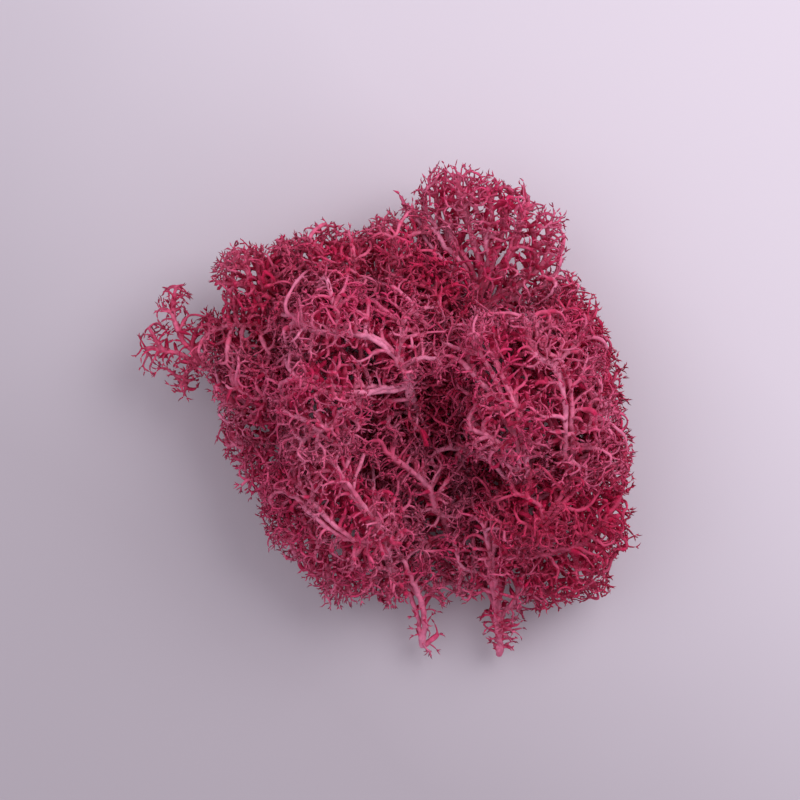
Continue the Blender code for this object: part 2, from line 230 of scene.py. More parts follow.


# %% [markdown]
# ## The bare stems
#
# The thick stems give a clump its bones, and a random growth would never lay them
# where they lie on this one. So each tuft's main stems are listed routes: the torn end
# first, then the forks up into the crown. Each route starts on the tuft's own root or
# on a point of an earlier route, and the fine growth takes over from it.

# %% Stem routes
# Points in millimetres, from under the middle of the clump on the surface it lies on.
STEM_ROUTES = {
    "right_dome": [
        [(22.5, -13.0, 16), (22.0, -6.5, 24), (20.5, 0.5, 28.5), (18.5, 5.2, 30),
         (16.5, 9.5, 29)],
        [(22.5, -13.0, 16), (29.3, -11.5, 17), (28.0, -3.0, 26.5), (27.7, 2.6, 29),
         (26.5, 7.7, 29),
         (22.5, 9.5, 29.5), (21.8, 14.8, 26)],
        [(22.0, -6.5, 24), (17.0, -3.5, 28), (13.0, -1.0, 27)],
        [(28.0, -3.0, 26.5), (32.5, -1.0, 25), (34.5, 2.0, 22)],
        [(26.5, 7.7, 29), (29.5, 11.0, 26)],
        [(20.5, 0.5, 28.5), (14.5, 5.5, 28)],
    ],
    "left_dome": [
        [(4.5, 0.0, 14), (3.5, 5.0, 21), (2.4, 8.3, 27), (-1.0, 12.0, 29), (-6.7, 13.3, 31.5),
         (-11.3, 13.0, 30.5), (-15.0, 16.0, 26)],
        [(2.4, 8.3, 27), (2.7, 13.3, 27.5), (4.0, 18.0, 24)],
        [(3.5, 5.0, 21), (-3.0, 3.5, 26), (-9.0, 3.5, 30.5), (-13.5, 6.0, 28)],
        [(-3.0, 3.5, 26), (-8.5, -1.5, 29), (-12.5, -3.5, 26)],
        [(-6.7, 13.3, 31.5), (-8.0, 18.0, 29)],
    ],
    "main_stem": [
        [(11.2, -20.0, 7), (8.2, -15.0, 13), (7.2, -11.0, 16), (4.0, -8.5, 17), (1.1, -6.2, 18),
         (-1.8, -3.7, 18.5)],
        [(11.2, -20.0, 7), (8.0, -21.0, 9), (5.0, -19.5, 11)],
        [(11.2, -20.0, 7), (13.5, -23.5, 7), (12.5, -27.5, 5)],
        [(1.1, -6.2, 18), (1.5, -4.0, 20)],
    ],
    "base_tuft": [
        [(4.0, -9.0, 2.5), (3.0, -4.0, 5), (-1.0, -1.0, 8)],
        [(4.0, -9.0, 2.5), (10.0, -6.0, 5), (13.0, -1.0, 8)],
    ],
    "centre_tuft": [
        [(8.0, -3.0, 7), (8.0, 3.0, 11), (8.5, 10.0, 16), (8.0, 17.5, 18), (7.0, 23.0, 18)],
        [(8.0, 3.0, 11), (4.5, 6.0, 17)],
        [(8.5, 10.0, 16), (11.5, 13.0, 20)],
    ],
    "upper_right_tuft": [
        [(12.0, 8.0, 6), (14.5, 17.0, 11), (15.5, 23.0, 16), (14.0, 28.0, 19),
         (11.5, 36.0, 18)],
        [(15.5, 23.0, 16), (16.5, 29.0, 20), (17.5, 36.0, 18)],
        [(14.5, 17.0, 11), (13.0, 24.0, 17), (8.5, 28.0, 18), (6.5, 34.5, 16)],
        [(14.5, 17.0, 11), (18.5, 23.0, 16), (21.0, 30.0, 18), (22.5, 34.5, 17)],
        [(14.5, 17.0, 11), (20.5, 20.0, 14), (25.5, 24.0, 16), (25.8, 29.5, 16)],
        [(25.5, 24.0, 16), (28.0, 27.0, 15)],
        [(8.5, 28.0, 18), (3.7, 32.0, 17), (2.2, 35.6, 15.5)],
    ],
    "upper_middle_tuft": [
        [(1.0, 8.0, 6), (-1.5, 15.0, 9), (-4.0, 20.0, 15), (-9.5, 25.0, 22), (-12.0, 28.0, 20)],
        [(-1.5, 15.0, 9), (0.0, 22.0, 18), (1.5, 28.0, 21)],
        [(-4.0, 20.0, 15), (-5.0, 25.5, 21)],
    ],
    "upper_left_tuft": [
        [(-6.0, 6.0, 6), (-12.0, 10.5, 9), (-17.0, 15.0, 15), (-21.5, 21.0, 22),
         (-22.0, 26.0, 19)],
        [(-17.0, 15.0, 15), (-22.5, 14.5, 20), (-26.0, 14.0, 16)],
        [(-12.0, 10.5, 9), (-16.5, 21.0, 14), (-18.0, 25.0, 18)],
    ],
    "left_sprig": [
        [(-22.0, 2.5, 9), (-26.0, 5.5, 11.5), (-30.0, 9.0, 13), (-33.0, 12.5, 14),
         (-34.0, 16.5, 14.5),
         (-33.8, 20.0, 14)],
        [(-30.0, 9.0, 13), (-34.5, 10.5, 13.5), (-38.5, 11.0, 12)],
        [(-30.0, 9.0, 13), (-32.8, 6.5, 11), (-32.6, 4.0, 9.5)],
        [(-34.5, 10.5, 13.5), (-37.5, 13.5, 13)],
    ],
    "left_flank_tuft": [
        [(-7.0, -3.5, 6), (-13.0, -2.5, 10), (-19.0, 1.5, 18), (-24.0, 5.0, 18)],
        [(-13.0, -2.5, 10), (-20.0, -4.5, 13), (-25.0, -5.0, 11)],
        [(-13.0, -2.5, 10), (-17.0, -9.0, 16)],
    ],
    "lower_left_tuft": [
        [(1.0, -26.0, 9), (0.5, -20.5, 17), (-2.5, -15.0, 22.5), (-5.5, -10.5, 25),
         (-8.5, -7.0, 25)],
        [(0.5, -20.5, 17), (-5.0, -19.5, 21), (-10.5, -14.5, 23), (-14.5, -10.0, 20)],
        [(-5.0, -19.5, 21), (-10.5, -20.0, 16), (-17.0, -18.0, 13)],
        [(1.0, -26.0, 9), (-4.0, -26.0, 12), (-9.0, -26.0, 11)],
        [(-4.0, -26.0, 12), (-7.5, -27.5, 9), (-8.2, -30.5, 6)],
        [(1.0, -26.0, 9), (0.0, -30.0, 7)],
        [(-9.0, -26.0, 11), (-12.0, -25.0, 8), (-13.8, -25.4, 7)],
    ],
    "right_edge_tuft": [
        [(17.0, -3.0, 4), (24.0, 3.0, 7), (30.0, 9.0, 13), (32.5, 15.0, 17)],
        [(24.0, 3.0, 7), (31.5, 3.0, 13), (36.0, 4.0, 15)],
    ],
    "lower_right_tuft": [
        [(15.0, -27.0, 7), (20.0, -22.0, 14), (24.0, -17.5, 21), (27.0, -13.0, 23),
         (31.5, -8.0, 21)],
        [(20.0, -22.0, 14), (28.0, -22.0, 15), (35.0, -17.0, 17), (38.0, -11.5, 16)],
        [(28.0, -22.0, 15), (33.5, -25.5, 10), (35.0, -30.0, 7)],
        [(20.0, -22.0, 14), (25.0, -27.0, 10), (27.5, -29.5, 8)],
        [(24.0, -17.5, 21), (20.5, -12.0, 22)],
    ],
    "right_tail": [
        [(18.8, -39.5, 4), (18.5, -34.0, 6.5), (17.5, -28.0, 10), (16.5, -22.0, 16),
         (16.0, -17.0, 18)],
        [(18.5, -34.0, 6.5), (21.5, -29.5, 9), (22.5, -25.5, 10)],
        [(17.5, -28.0, 10), (12.5, -24.5, 12)],
    ],
    "middle_tail": [
        [(6.2, -38.0, 4), (6.5, -33.0, 7), (5.5, -29.0, 9), (3.5, -24.5, 12), (2.0, -21.5, 13)],
        [(6.2, -38.0, 4), (8.6, -36.2, 4.5)],
        [(5.5, -29.0, 9), (2.5, -27.0, 9)],
    ],
}
ROOT_RADIUS = 0.33 * MM
ROUTE_END_RADIUS = 0.18 * MM
WOBBLE = 0.12
# Old moss sends up thinner sister stems beside a long one, a little lower.
SISTER_STEMS = {"upper_right_tuft": 3, "lower_right_tuft": 1, "middle_tail": 1, "left_sprig": 0}
SISTER_SPREAD = np.array((1.9, 1.0, 0.9)) * MM
SISTER_SINK = 0.6 * MM
SISTER_STOUTNESS = 0.64
STOUTNESS = {"left_sprig": 0.75, "main_stem": 2.0, "middle_tail": 1.8, "right_tail": 1.6,
             "upper_right_tuft": 1.3, "upper_left_tuft": 0.8, "upper_middle_tuft": 0.8}
print(sum(len(routes) for routes in STEM_ROUTES.values()), "stem routes")


# %% Lay the stems
STEP = 0.56 * MM
CORNER_CUT = 0.25
CORNER_ROUNDS = 2
# Only a long route has sisters, and this many where nothing else is said.
LONG_ROUTE = 4
USUAL_SISTERS = 2


def rounded(corners):
    """Cut the corners of a route twice, so that it bends instead of kinking."""
    for _ in range(CORNER_ROUNDS):
        near = (1.0 - CORNER_CUT) * corners[:-1] + CORNER_CUT * corners[1:]
        far = CORNER_CUT * corners[:-1] + (1.0 - CORNER_CUT) * corners[1:]
        cut = np.stack([near, far], axis=1).reshape(-1, 3)
        corners = np.vstack([corners[:1], cut[1:-1], corners[-1:]])
    return corners


def with_sister_stems(node, route, rng):
    """A route in metres, and thinner ones that leave it at its start and run beside it."""
    corners = np.array(route) * MM
    yield rounded(corners), 1.0
    if len(corners) < LONG_ROUTE:
        return
    for _ in range(SISTER_STEMS.get(node, USUAL_SISTERS)):
        beside = rng.normal(size=3) * SISTER_SPREAD
        beside[2] = -abs(beside[2]) - SISTER_SINK
        share = np.linspace(0.0, 1.0, len(corners))[:, None] ** 0.5
        yield rounded(corners + share * beside), SISTER_STOUTNESS


def lay_stems(node, rng):
    """The stem routes of a tuft, as branch points with parents and least thickness."""
    stout = STOUTNESS.get(node, 1.0)
    place = [np.array(STEM_ROUTES[node][0][0]) * MM]
    parent = [-1]
    thick = [ROOT_RADIUS * stout]
    routes = STEM_ROUTES[node]
    stems = [stem for route in routes for stem in with_sister_stems(node, route, rng)]
    for corners, share_of_size in stems:
        gaps = np.linalg.norm(np.array(place) - corners[0], axis=1)
        last = int(gaps.argmin())
        length = np.linalg.norm(np.diff(corners, axis=0), axis=1).sum()
        gone, start = 0.0, thick[last] * share_of_size
        for target in corners[1:]:
            begin = place[last]
            gap = target - begin
            steps = max(1, round(float(np.linalg.norm(gap)) / STEP))
            sag = rng.normal(size=3) * WOBBLE * np.linalg.norm(gap)
            for step in range(1, steps + 1):
                share = step / steps
                place.append(begin + gap * share + sag * math.sin(math.pi * share))
                parent.append(last)
                last = len(place) - 1
                gone += float(np.linalg.norm(gap)) / steps
                thinner = (ROUTE_END_RADIUS * stout - start) * min(1.0, gone / length)
                thick.append(start + thinner)
    return np.array(place), parent, thick


print("a stem grows by a point every", round(STEP / MM, 2), "mm")

# %% [markdown]
# ## Growing the branches
#
# Space colonization grows a tree as a plant does: every free point pulls on the twig
# nearest to it, the twig grows a short step towards the middle of its pulls, and a
# point that has been reached stops pulling. Forks appear where the pulls disagree,
# and no two twigs crowd each other. L-systems would give forks too, but they don't
# know the shape they have to fill.
#
# It goes in three ages. Boughs reach into every part of the crown, branches divide
# it, and twigs fill what is left near the light. Grown in one go, all the wood would
# be alike: real moss shows each size of branch between the finer ones.

# %% The three ages
MOST_STEPS = 90
MOST_FORKS = 3
CURL_MEMORY = 0.75
Age = namedtuple("Age", "crowding reach kill momentum curl lean")
# The whole clump leans away from where it was rooted, so all the wood runs one way.
ROOTED_AT = np.array((8.0, -55.0, -10.0)) * MM
BOUGHS = Age(0.07, 14.0 * MM, 1.7 * MM, 0.60, 0.18, 0.50)
BRANCHES = Age(0.55, 6.0 * MM, 0.94 * MM, 0.45, 0.12, 0.30)
TWIGS = Age(None, 4.0 * MM, 0.605 * MM, 0.40, 0.12, 0.20)
# Moss forks forward: a pull from further behind than this is left to another twig.
TURN_BACK = 0.0
for age_name, age in (("boughs", BOUGHS), ("branches", BRANCHES), ("twigs", TWIGS)):
    print(age_name, "stand", round(age.kill / MM, 2), "mm apart")

# %% Directions and nearest places
TINY = 1e-12


def unit(vectors):
    """The same directions, with length one."""
    return vectors / np.maximum(np.linalg.norm(vectors, axis=-1, keepdims=True), TINY)


def search_tree(places):
    """A tree that finds the nearest of some places."""
    tree = KDTree(len(places))
    for number, place in enumerate(places):
        tree.insert(place, number)
    tree.balance()
    return tree


def nearest_of(points, places):
    """For each point, which place is nearest and how far it is."""
    squares = (points ** 2).sum(1)[:, None] + (places ** 2).sum(1)[None]
    squares = squares - 2.0 * points @ places.T
    best = squares.argmin(1)
    return best, np.sqrt(np.maximum(squares[np.arange(len(points)), best], 0.0))


# %% Space colonization
def grow(place, parent, points, age, rng):
    """Grow branches from what is there until they have reached every point they can."""
    parent = list(parent)
    forks = np.bincount([p for p in parent if p >= 0], minlength=len(parent))
    heading = np.zeros_like(place)
    heading[1:] = unit(place[1:] - place[parent[1:]])
    curl = unit(rng.normal(size=place.shape))
    tree = search_tree(place)
    found = [tree.find(point) for point in points]
    nearest = np.array([number for _, number, _ in found])
    distance = np.array([gap for _, _, gap in found])
    waiting = distance > age.kill
    points, nearest, distance = points[waiting], nearest[waiting], distance[waiting]
    for _ in range(MOST_STEPS):
        pulling = distance < age.reach
        owner = nearest[pulling]
        total = np.zeros_like(place)
        np.add.at(total, owner, unit(points[pulling] - place[owner]))
        growing = np.unique(owner)
        growing = growing[forks[growing] < MOST_FORKS]
        turn = (unit(total[growing]) * heading[growing]).sum(1)
        growing = growing[turn > TURN_BACK]
        if not len(growing):
            break
        fresh_curl = rng.normal(size=(len(growing), 3))
        bend = unit(CURL_MEMORY * curl[growing] + (1 - CURL_MEMORY) * fresh_curl)
        away = age.lean * unit(place[growing] - ROOTED_AT)
        way = unit(total[growing]) + age.momentum * heading[growing] + age.curl * bend
        way = unit(way + away)
        fresh = place[growing] + STEP * way
        forks[growing] += 1
        first = len(place)
        place = np.vstack([place, fresh])
        parent.extend(growing.tolist())
        heading = np.vstack([heading, way])
        curl = np.vstack([curl, bend])
        forks = np.concatenate([forks, np.zeros(len(fresh), int)])
        best, gaps = nearest_of(points, fresh)
        closer = gaps < distance
        nearest[closer] = first + best[closer]
        distance = np.minimum(distance, gaps)
        waiting = distance > age.kill
        points, nearest, distance = points[waiting], nearest[waiting], distance[waiting]
    return place, parent


# %% [markdown]
# ## From a tree to tubes
#
# A stem is as thick as the tips it feeds. A gentle power of the number of tips gives
# twigs a quarter of a millimetre thick and branches of three quarters, and the stems
# laid along the listed routes keep their own thickness. The tree is cut into chains: at
# each fork the strongest branch carries on, and the others start anew.

# %% Thickness and chains
TIP_RADIUS = 0.135 * MM
THICKENING = 0.27
MOST_RADIUS = 0.38 * MM
CORE_STOUTNESS = 2.9
KNOBBLE = 0.12
SMOOTHING_ROUNDS = 2
for feeds in (1, 10, 40):
    print("a twig that feeds", feeds, "tips:",
          round(2 * TIP_RADIUS * feeds ** THICKENING / MM, 2), "mm thick")


def count_tips(parent):
    """How many tips each branch point feeds."""
    tips = np.zeros(len(parent), int)
    has_child = np.zeros(len(parent), bool)
    has_child[parent[1:]] = True
    tips[~has_child] = 1
    for point in range(len(parent) - 1, 0, -1):
        tips[parent[point]] += tips[point]
    return tips


def smooth(place, parent):
    """Ease the zigzag of the steps, holding the root."""
    kids = np.bincount(parent[1:], minlength=len(parent))
    for _ in range(SMOOTHING_ROUNDS):
        below = np.zeros_like(place)
        np.add.at(below, parent[1:], place[1:])
        middle = place.copy()
        inner = kids > 0
        inner[0] = False
        mean_kid = below[inner] / kids[inner, None]
        middle[inner] = 0.5 * place[inner] + 0.25 * (place[parent[inner]] + mean_kid)
        place = middle
    return place


# %% Chains
def chains_of(parent, tips):
    """The tree as runs of points, each starting at the fork it leaves."""
    kids = [[] for _ in parent]
    for point in range(1, len(parent)):
        kids[parent[point]].append(point)
    runs = []
    starts = [(0, None)]
    while starts:
        start, fork = starts.pop()
        run = [] if fork is None else [fork]
        point = start
        while True:
            run.append(point)
            following = sorted(kids[point], key=lambda kid: -tips[kid])
            if not following:
                break
            starts.extend((kid, point) for kid in following[1:])
            point = following[0]
        if len(run) > 1:
            runs.append(run)
    return runs


# %% [markdown]
# ## Star tips
#
# Every lit twig ends in a small star of one to three pointed tips, and thin twigs carry
# a few short spurs on their sides. They are what makes the crown look bristly. Each is
# a short bent cone of its own.

# %% Tips and spurs
STAR_TIPS = (1, 2, 2, 3)
STAR_LENGTH = (0.7 * MM, 1.3 * MM)
STAR_SPLAY = (0.35, 0.95)
SPUR_LENGTH = (0.45 * MM, 1.0 * MM)
SPUR_CHANCE = 0.08
TIPS_UNDER = 1.7 * MM
SPUR_MOST_TIPS = 14
SPUR_LEAN = 0.45
CONE_BEND = 0.55
# Where along its length a tip bends, and what is left beyond.
BEND_AT, BEYOND_BEND = 0.55, 0.45


def square_to(way, rng):
    """A random unit vector square to each given direction."""
    loose = rng.normal(size=way.shape)
    return unit(loose - (loose * way).sum(-1, keepdims=True) * way)


def bent_cone(start, way, length, rng):
    """Three points of a short curved tip."""
    bend = square_to(way, rng) * CONE_BEND
    middle = start + way * length[:, None] * BEND_AT
    end = middle + unit(way + bend) * length[:, None] * BEYOND_BEND
    return np.stack([start, middle, end], axis=1)


def star_and_spur_paths(place, parent, tips, cover, rng):
    """The paths of all the small tips, and the branch point each grows from."""
    heading = unit(place - place[np.maximum(parent, 0)])
    kids = np.bincount(parent[1:], minlength=len(parent))
    lit = cover < TIPS_UNDER
    ends = np.flatnonzero((kids == 0) & lit)
    hosts = np.repeat(ends, rng.choice(STAR_TIPS, len(ends)))
    thin = np.flatnonzero((kids > 0) & (tips <= SPUR_MOST_TIPS) & lit)
    spurs = thin[rng.random(len(thin)) < SPUR_CHANCE]
    splay = rng.uniform(*STAR_SPLAY, len(hosts))[:, None]
    star_way = unit(heading[hosts] + splay * square_to(heading[hosts], rng))
    spur_way = unit(SPUR_LEAN * heading[spurs] + square_to(heading[spurs], rng))
    star_length = rng.uniform(*STAR_LENGTH, len(hosts))
    spur_length = rng.uniform(*SPUR_LENGTH, len(spurs))
    way = np.vstack([star_way, spur_way])
    length = np.concatenate([star_length, spur_length])
    hosts = np.concatenate([hosts, spurs])
    return bent_cone(place[hosts], way, length, rng), hosts


print("star tips are", [round(length / MM, 1) for length in STAR_LENGTH], "mm long")

# %% [markdown]
# ## Tubes as one mesh
#
# A curve with a bevel could make each tube, but thousands of curves are slow and
# carry no data for the dye. Rings of corners round the paths, joined by faces, make
# all the tubes of one kind in a few lines of numpy, and each corner keeps how near
# it is to a tip, how deep it lies and a random tint for its twig.

# %% Rings and faces
NEARLY_UPRIGHT = 0.8
UP, SIDEWAYS = (0, 0, 1), (1, 0, 0)


class Builder:
    """Collects the corners, faces and the data for dye and painted shade of a tuft's tubes."""

    def __init__(self, squares_a_side):
        self.corners, self.faces, self.maps = [], [], []
        self.data = {"ripeness": [], "tint": [], "depth": []}
        self.count = 0
        self.squares_a_side = squares_a_side

    def tubes(self, paths, radii, sides, data, squares, square_share):
        """Tubes of equal point count: paths (n, k, 3), radii (n, k), data (n, k)."""
        n, k, _ = paths.shape
        along = unit(np.gradient(paths, axis=1))
        lean = unit(paths[:, -1] - paths[:, 0])
        loose = np.where(np.abs(lean[:, 2:]) < NEARLY_UPRIGHT, UP, SIDEWAYS)
        loose = np.cross(lean, loose)
        across = loose[:, None] - (loose[:, None] * along).sum(2, keepdims=True) * along
        across = unit(across)
        other = np.cross(along, across)
        turn = np.arange(sides) * (2 * math.pi / sides)
        spin = np.cos(turn)[:, None] * across[:, :, None]
        spin = spin + np.sin(turn)[:, None] * other[:, :, None]
        # A prism looks slimmer than the round tube it stands for, so it is a bit wider.
        fullness = math.pi / (sides * math.sin(math.pi / sides))
        rings = paths[:, :, None] + fullness * radii[:, :, None, None] * spin
        ring_count = k - 1
        body = rings[:, :ring_count].reshape(n, -1, 3)
        corners = np.concatenate([body, paths[:, -1:]], axis=1)
        per_tube = corners.shape[1]
        self.corners.append(corners.reshape(-1, 3))
        for name, values in data.items():
            spread = np.repeat(values[:, :ring_count], sides, axis=1)
            spread = np.concatenate([spread, values[:, -1:]], axis=1)
            self.data[name].append(spread.reshape(-1))
        faces, map_u, map_v = tube_faces(ring_count, sides)
        offset = self.count + per_tube * np.arange(n)[:, None, None]
        self.faces.append((faces[None] + offset).reshape(-1, 3))
        low, high = square_share
        u = np.broadcast_to(low + (high - low) * map_u[None], (n, *map_u.shape))
        v = np.broadcast_to(map_v[None], u.shape)
        self.maps.append(square_place(squares[:, None, None], u, v, self.squares_a_side))
        self.count += n * per_tube


# %% The faces of one tube
def tube_faces(rings, sides):
    """The triangles of one tube, and where each corner lies along and around it."""
    faces, map_u, map_v = [], [], []
    head = rings * sides
    for ring in range(rings - 1):
        for side in range(sides):
            a, b = ring * sides + side, ring * sides + (side + 1) % sides
            c, d = a + sides, b + sides
            u0, u1 = ring / rings, (ring + 1) / rings
            v0, v1 = side / sides, (side + 1) / sides
            faces += [(a, b, d), (a, d, c)]
            map_u += [(u0, u0, u1), (u0, u1, u1)]
            map_v += [(v0, v1, v1), (v0, v1, v0)]
    last = (rings - 1) * sides
    for side in range(sides):
        following = (side + 1) % sides
        v0, v1 = side / sides, (side + 1) / sides
        faces.append((head, last + side, last + following))
        map_u.append((1.0, (rings - 1) / rings, (rings - 1) / rings))
        map_v.append(((v0 + v1) / 2, v0, v1))
    for side in range(1, sides - 1):
        faces.append((0, side + 1, side))
        map_u.append((0.0, 0.0, 0.0))
        map_v.append((0.0, (side + 1) / sides, side / sides))
    return np.array(faces), np.array(map_u), np.array(map_v)


# %% [markdown]
# ## A map for baking
#
# The dye lives in the corners' data, but a game engine wants a picture. Every run of
# twig gets a small square of its own in the map, with a margin, and its star tips
# share the end of that square, because their dye is the same there.

# %% Squares of the map
SQUARE_MARGIN = 0.14
RUN_SHARE = 0.8


def square_place(square, u, v, squares_a_side):
    """Map places inside numbered squares of the map."""
    span = 1.0 - 2.0 * SQUARE_MARGIN
    x = (square % squares_a_side + SQUARE_MARGIN + span * u) / squares_a_side
    y = (square // squares_a_side + SQUARE_MARGIN + span * v) / squares_a_side
    return np.stack([x, y], axis=-1)


# %% [markdown]
# ## Building one tuft
#
# A tuft is grown in four moves: a few bare stems from the root into the crown, the
# branching, the tubes, and the star tips. Runs of equal length are built together,
# which keeps numpy busy and Python idle.

# %% Sides and points for a run
# From each radius on, a tube has so many sides.
THICK_SIDES = ((0.50 * MM, 8), (0.30 * MM, 6), (0.21 * MM, 4), (0.0, 3))
DEEP_SIDES = 3
DEEP = 1.9 * MM
SHORT_RUN = 4


def sides_for(radius, deep):
    """Thin tubes need few sides, and those in the shade of the crown fewer still."""
    if deep and radius < THICK_SIDES[1][0]:
        return DEEP_SIDES
    return next(sides for least, sides in THICK_SIDES if radius >= least)


def thinned(run, deep):
    """A deep run keeps every second point, and its ends."""
    if not deep or len(run) < SHORT_RUN:
        return run
    return [run[0], *run[1:-1:2], run[-1]]


for thickness in (0.2, 0.5, 1.0):
    print(thickness, "mm thick:", sides_for(thickness * MM / 2, False), "sides")


# %% Tables of equal runs
# A branch starts nearly as thick as its stem, but no thicker than its own flare.
START_SHARE = 0.92
FLARE = 1.45
TIP_TAPER = 0.45
RIPENING = 0.30


def run_tables(runs, place, radius, tips, cover, tint):
    """Group the runs by length and sides, as equal tables of points and data."""
    groups = {}
    for number, run in enumerate(runs):
        deep = cover[run].mean() > DEEP
        runs[number] = run = thinned(run, deep)
        shape = (len(run), sides_for(radius[run[1]], deep))
        groups.setdefault(shape, []).append(number)
    for (length, sides), members in sorted(groups.items()):
        table = np.array([runs[number] for number in members])
        radii = radius[table].copy()
        begins = table[:, 0] != 0
        own = radius[table[:, 1]]
        radii[begins, 0] = np.minimum(radii[begins, 0] * START_SHARE, own[begins] * FLARE)
        radii[:, -1] *= TIP_TAPER
        ripe = 1.0 / (1.0 + RIPENING * (tips[table] - 1.0) ** 0.5)
        numbers = np.array(members)
        yield numbers, sides, place[table], radii, ripe, cover[table], tint[members]


# %% The mesh of one tuft
CONE_SIDES = 3
CONE_RADII = (0.86, 0.70, 0.0)
# The tips carry on with the ripeness where the twigs leave off.
RUN_RIPENESS = 0.8
CONE_RIPENESS = (0.62, 0.85, 1.0)
RUNS_ABOVE_FLOOR = 0.02 * MM
TIPS_ABOVE_FLOOR = 0.05 * MM


def build_tuft_mesh(name, place, parent, stem_radii, covers_at, rng):
    """The finished mesh of one tuft, with its data for dye and painted shade, and its map."""
    tips = count_tips(parent)
    place = smooth(place, parent)
    cover = covers_at(place)
    radius = np.minimum(TIP_RADIUS * tips ** THICKENING, MOST_RADIUS)
    core = np.clip(cover / SHELL, 0.0, 1.0) ** 2
    radius = np.minimum(radius * (1.0 + (CORE_STOUTNESS - 1.0) * core), MOST_RADIUS)
    stems = len(stem_radii)
    radius[:stems] = np.maximum(radius[:stems], stem_radii)
    knots = rng.normal(size=len(place))
    radius *= 1.0 + KNOBBLE * 0.5 * (knots + knots[np.maximum(parent, 0)])
    place[:, 2] = np.maximum(place[:, 2], radius + RUNS_ABOVE_FLOOR)
    runs = chains_of(parent, tips)
    tint = rng.random(len(runs))
    builder = Builder(math.ceil(math.sqrt(len(runs))))
    run_of = np.zeros(len(place), int)
    for number, run in enumerate(runs):
        run_of[run[1:]] = number
    for group in run_tables(runs, place, radius, tips, cover, tint):
        members, sides, paths, radii, ripe, covers, tints = group
        data = {
            "ripeness": ripe * RUN_RIPENESS,
            "tint": np.repeat(tints[:, None], ripe.shape[1], axis=1),
            # How much moss covers each corner, which the material turns into painted shade.
            "depth": covers / SHELL,
        }
        builder.tubes(paths, radii, sides, data, members, (0.0, RUN_SHARE))
    cones, hosts = star_and_spur_paths(place, parent, tips, cover, rng)
    cones[:, :, 2] = np.maximum(cones[:, :, 2], TIPS_ABOVE_FLOOR)
    cone_radii = radius[hosts][:, None] * np.array(CONE_RADII)[None]
    rise = np.array(CONE_RIPENESS)
    data = {
        "ripeness": np.repeat(rise[None], len(hosts), axis=0),
        "tint": np.repeat(tint[run_of[hosts]][:, None], 3, axis=1),
        "depth": np.repeat(cover[hosts][:, None] / SHELL, 3, axis=1),
    }
    builder.tubes(cones, cone_radii, CONE_SIDES, data, run_of[hosts], (RUN_SHARE, 1.0))
    return finish_mesh(name, builder), len(runs), len(hosts)


# %% From arrays to a Blender mesh
def finish_mesh(name, builder):
    """Turn the collected arrays into a Blender mesh."""
    corners = np.concatenate(builder.corners)
    faces = np.concatenate(builder.faces)
    places = np.concatenate([part.reshape(-1, 2) for part in builder.maps])
    mesh = bpy.data.meshes.new(name)
    mesh.vertices.add(len(corners))
    mesh.vertices.foreach_set("co", corners.astype(np.float32).reshape(-1))
    mesh.loops.add(faces.size)
    mesh.loops.foreach_set("vertex_index", faces.astype(np.int32).reshape(-1))
    mesh.polygons.add(len(faces))
    mesh.polygons.foreach_set("loop_start", np.arange(0, faces.size, 3, dtype=np.int32))
    layer = mesh.uv_layers.new(name="OFBake")
    layer.data.foreach_set("uv", places.astype(np.float32).reshape(-1))
    for key, parts in builder.data.items():
        values = np.concatenate(parts).astype(np.float32)
        mesh.attributes.new(key, "FLOAT", "POINT").data.foreach_set("value", values)
    mesh.update(calc_edges=True)
    mesh.shade_smooth()
    return mesh


# %% Grow every tuft
FIRST_SEED = 71
SLOT_OF = {part["node"]: part["material_slot"] for part in frame["record"]["subparts"]}


def grow_tuft(number, node):
    """Grow one tuft and stand it in for its solid."""
    rng = np.random.default_rng(FIRST_SEED + number)
    tree_of_faces = solid_tree(node)
    points, covers, crowding = fill_points(node, tree_of_faces, rng)
    place, parent, thick = lay_stems(node, rng)
    twigs = TWIGS
    if node in CLOSE_HEADS:
        twigs = TWIGS._replace(kill=TWIGS.kill * CLOSE_HEAD_GAPS)
    for age in (BOUGHS, BRANCHES, twigs):
        if age.crowding:
            chosen = rng.random(len(points)) < age.crowding / crowding
        else:
            chosen = covers < SHELL
        place, parent = grow(place, parent, points[chosen], age, rng)
    parent = np.array(parent)
    cover_tree = search_tree(points)

    def covers_at(spots):
        return np.array([covers[cover_tree.find(spot)[1]] for spot in spots])

    mesh, runs, cones = build_tuft_mesh("moss_" + node, place, parent, thick, covers_at, rng)
    piece = bpy.data.objects.new("moss_" + node, mesh)
    bpy.context.scene.collection.objects.link(piece)
    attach(piece, "root")
    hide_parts(node)
    slot = SLOT_OF[node]
    print(f"{node}: {len(points)} points, {len(place)} branch points, {runs} runs,",
          f"{cones} tips, {len(mesh.polygons)} triangles")
    return piece, slot


pieces = [grow_tuft(number, node) for number, node in enumerate(sorted(frame["nodes"]))]
print("triangles in all:", sum(len(piece.data.polygons) for piece, _ in pieces))

# %% [markdown]
# ## The dye and painted shade
#
# Dyed moss is never one colour. The dye takes best on the young twigs, wears off the
# thick old ones, fades in patches, and the dry tips go brown. Twigs deep in the clump,
# under much moss, are painted a darker, deeper red: painted shade, weaker on old wood.
# One node group mixes all this from the three numbers that each corner keeps, and every
# material gives it its own colours.
# A painted picture would need a map without seams for ten thousand twigs.

# %% Small helpers for nodes
def add(tree, kind, values=None, **settings):
    """Add a shader node, set it up, and feed its sockets with values or links."""
    node = tree.nodes.new("ShaderNode" + kind)
    for name, value in settings.items():
        setattr(node, name, value)
    for socket, value in (values or {}).items():
        if isinstance(value, bpy.types.NodeSocket):
            tree.links.new(value, node.inputs[socket])
        else:
            node.inputs[socket].default_value = value
    return node


